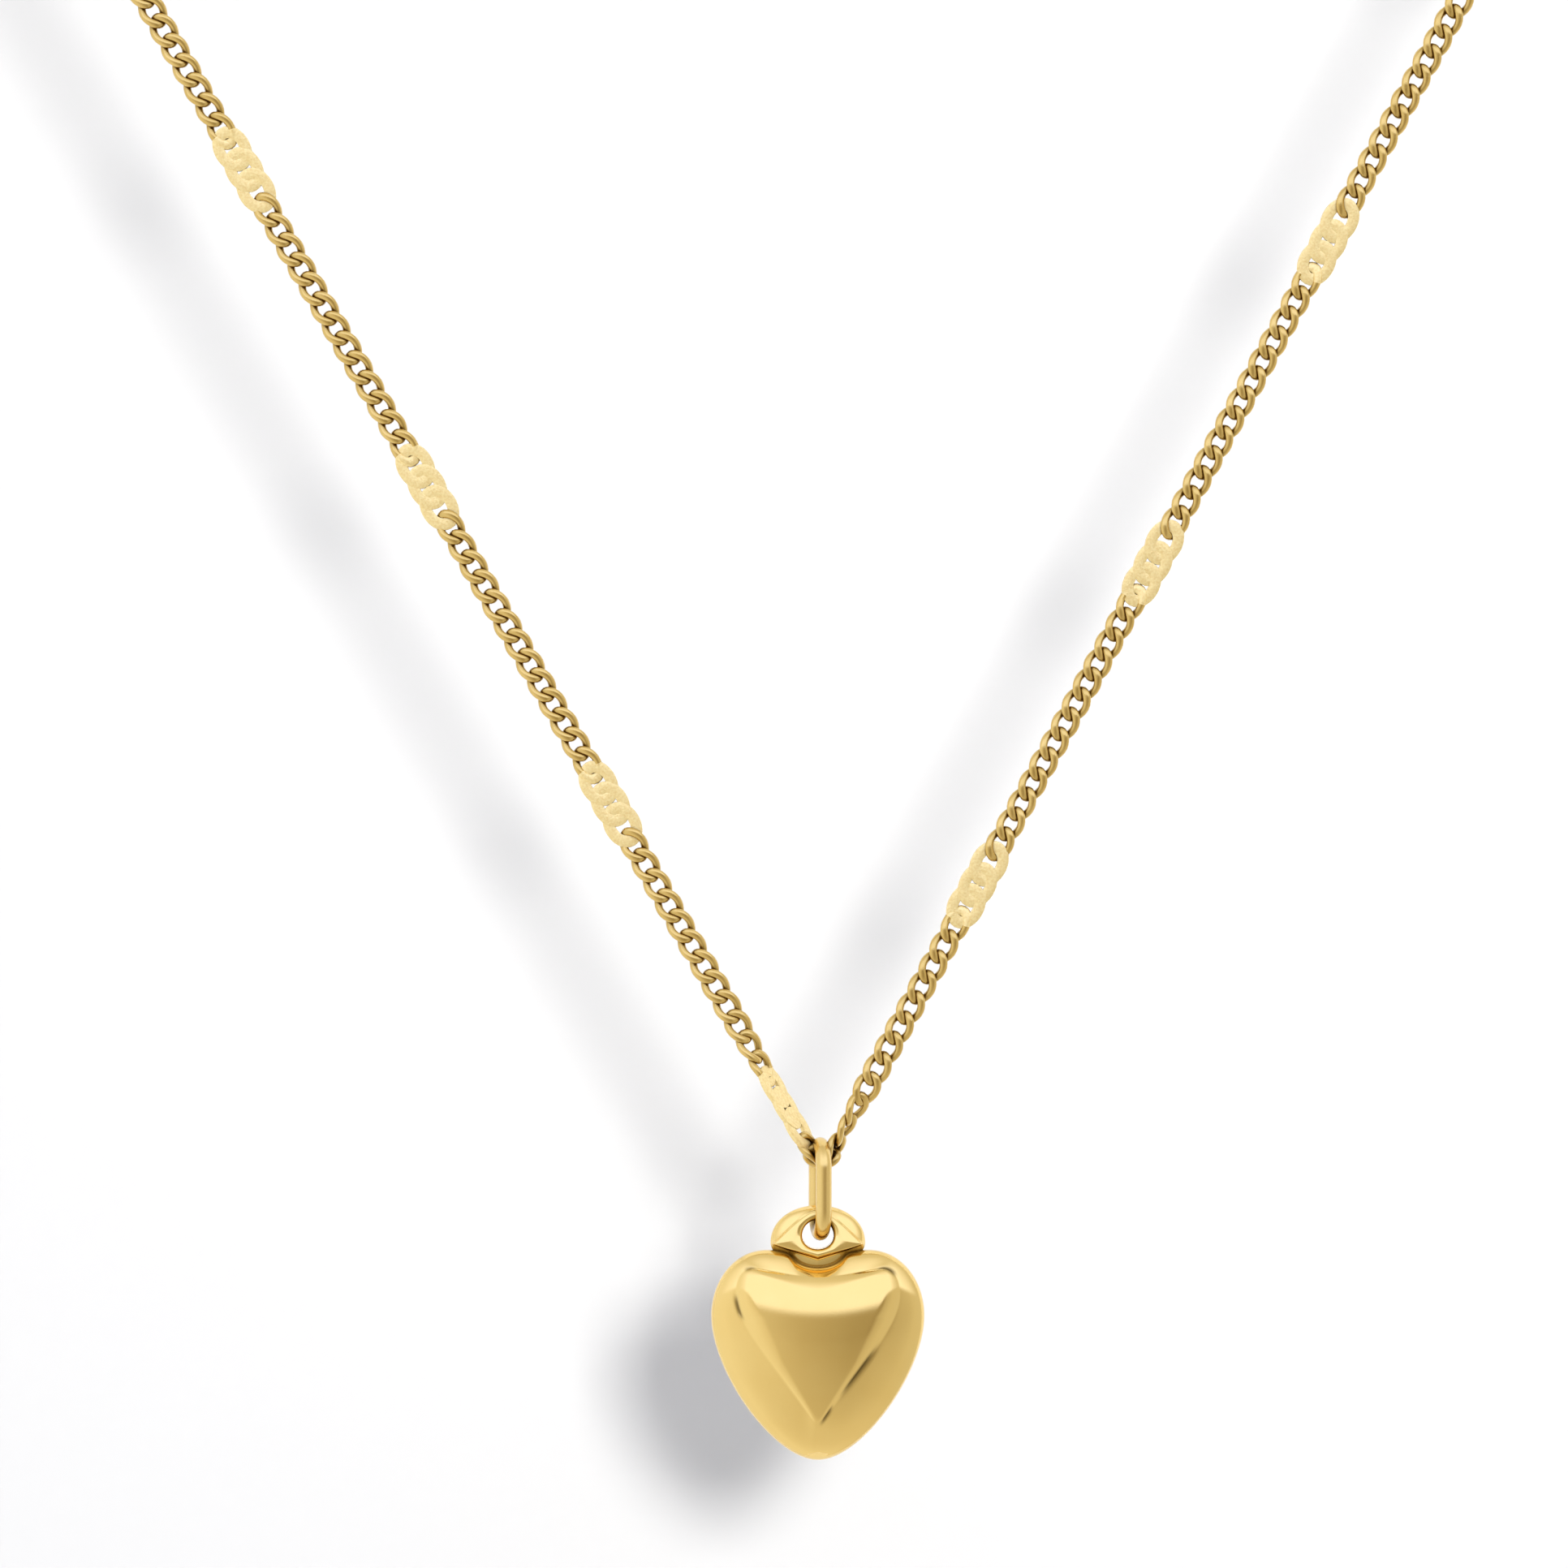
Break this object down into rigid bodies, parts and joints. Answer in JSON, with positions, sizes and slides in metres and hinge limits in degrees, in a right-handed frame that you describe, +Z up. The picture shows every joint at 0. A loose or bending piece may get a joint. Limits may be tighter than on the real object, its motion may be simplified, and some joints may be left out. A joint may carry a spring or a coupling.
{
  "type": "pendant necklace",
  "caption": "Fine curb-chain necklace with flattened stations, a hollow puffed heart pendant on an oval ring, and a lobster clasp.",
  "frame": {"origin": "top of the neck that the closed necklace hangs on, under the clasp", "axes": "+Z up, away from the neck; -Y the way the heart's front faces; +X to the wearer's left, seen from the front to the right"},
  "size_m": [0.1056, 0.0072, 0.1767],
  "materials": {
    "polished_gold": "mirror-polished yellow gold plate",
    "chain_gold": "bright drawn wire, yellow gold plate, darker between the links",
    "satin_gold": "stamped flat, fine satin grain, pale yellow gold plate",
    "clasp_gold": "polished yellow gold plate with rounded edges",
    "spring_steel": "drawn spring wire"
  },
  "bodies": {
    "chain": {"chain_left_1": "chain_gold", "chain_left_2": "chain_gold", "chain_left_3": "chain_gold", "chain_left_4": "chain_gold", "chain_left_5": "chain_gold", "chain_left_6": "chain_gold", "chain_left_7": "chain_gold", "chain_left_8": "chain_gold", "chain_left_9": "chain_gold", "chain_left_end_link": "clasp_gold", "chain_middle_link": "chain_gold", "chain_right_1": "chain_gold", "chain_right_10": "chain_gold", "chain_right_2": "chain_gold", "chain_right_3": "chain_gold", "chain_right_4": "chain_gold", "chain_right_5": "chain_gold", "chain_right_6": "chain_gold", "chain_right_7": "chain_gold", "chain_right_8": "chain_gold", "chain_right_9": "chain_gold", "chain_right_end_link": "clasp_gold", "station_left_1": "satin_gold", "station_left_2": "satin_gold", "station_left_3": "satin_gold", "station_left_4": "satin_gold", "station_left_5": "satin_gold", "station_left_6": "satin_gold", "station_left_7": "satin_gold", "station_left_8": "satin_gold", "station_left_9": "satin_gold", "station_right_1": "satin_gold", "station_right_2": "satin_gold", "station_right_3": "satin_gold", "station_right_4": "satin_gold", "station_right_5": "satin_gold", "station_right_6": "satin_gold", "station_right_7": "satin_gold", "station_right_8": "satin_gold", "station_right_9": "satin_gold"},
    "pendant_ring": {"pendant_ring": "polished_gold"},
    "heart": {"heart_front_shell": "polished_gold", "heart_back_shell": "polished_gold", "heart_lug": "polished_gold"},
    "clasp_ring": {"clasp_ring": "clasp_gold"},
    "clasp": {"clasp_body": "clasp_gold", "clasp_pin": "clasp_gold", "clasp_spring": "spring_steel"},
    "clasp_lever": {"clasp_lever": "clasp_gold"},
    "catch_ring": {"catch_ring": "clasp_gold"}
  },
  "joints": [
    {"name": "pendant_ring_swing", "type": "hinge", "parent": "chain", "child": "pendant_ring", "pos_m": [0.0012, 0, -0.15687], "axis": [0.989, 0.1478, 0], "range_deg": [-100, 100]},
    {"name": "heart_swing", "type": "hinge", "parent": "pendant_ring", "child": "heart", "pos_m": [0.00107, 0, -0.16048], "axis": [0, 1, 0], "range_deg": [-70, 70]},
    {"name": "clasp_ring_turn", "type": "hinge", "parent": "chain", "child": "clasp_ring", "pos_m": [-0.00835, 0, 0.00095], "axis": [0, 0, 1], "range_deg": [-1.5, 1.5]},
    {"name": "clasp_turn", "type": "hinge", "parent": "clasp_ring", "child": "clasp", "pos_m": [-0.00515, 0, 0.00095], "axis": [0, 0, 1], "range_deg": [-1.5, 1.5]},
    {"name": "clasp_lever_press", "type": "hinge", "parent": "clasp", "child": "clasp_lever", "pos_m": [-0.0008, 0.00214, 0.00095], "axis": [0, 0, -1], "range_deg": [0, 10], "stiffness_Nm_per_rad": 0.004, "springref_deg": -11.46},
    {"name": "catch_ring_turn", "type": "hinge", "parent": "chain", "child": "catch_ring", "pos_m": [0.00705, 0, 0.00095], "axis": [0, 0, 1], "range_deg": [-4, 4]}
  ]
}
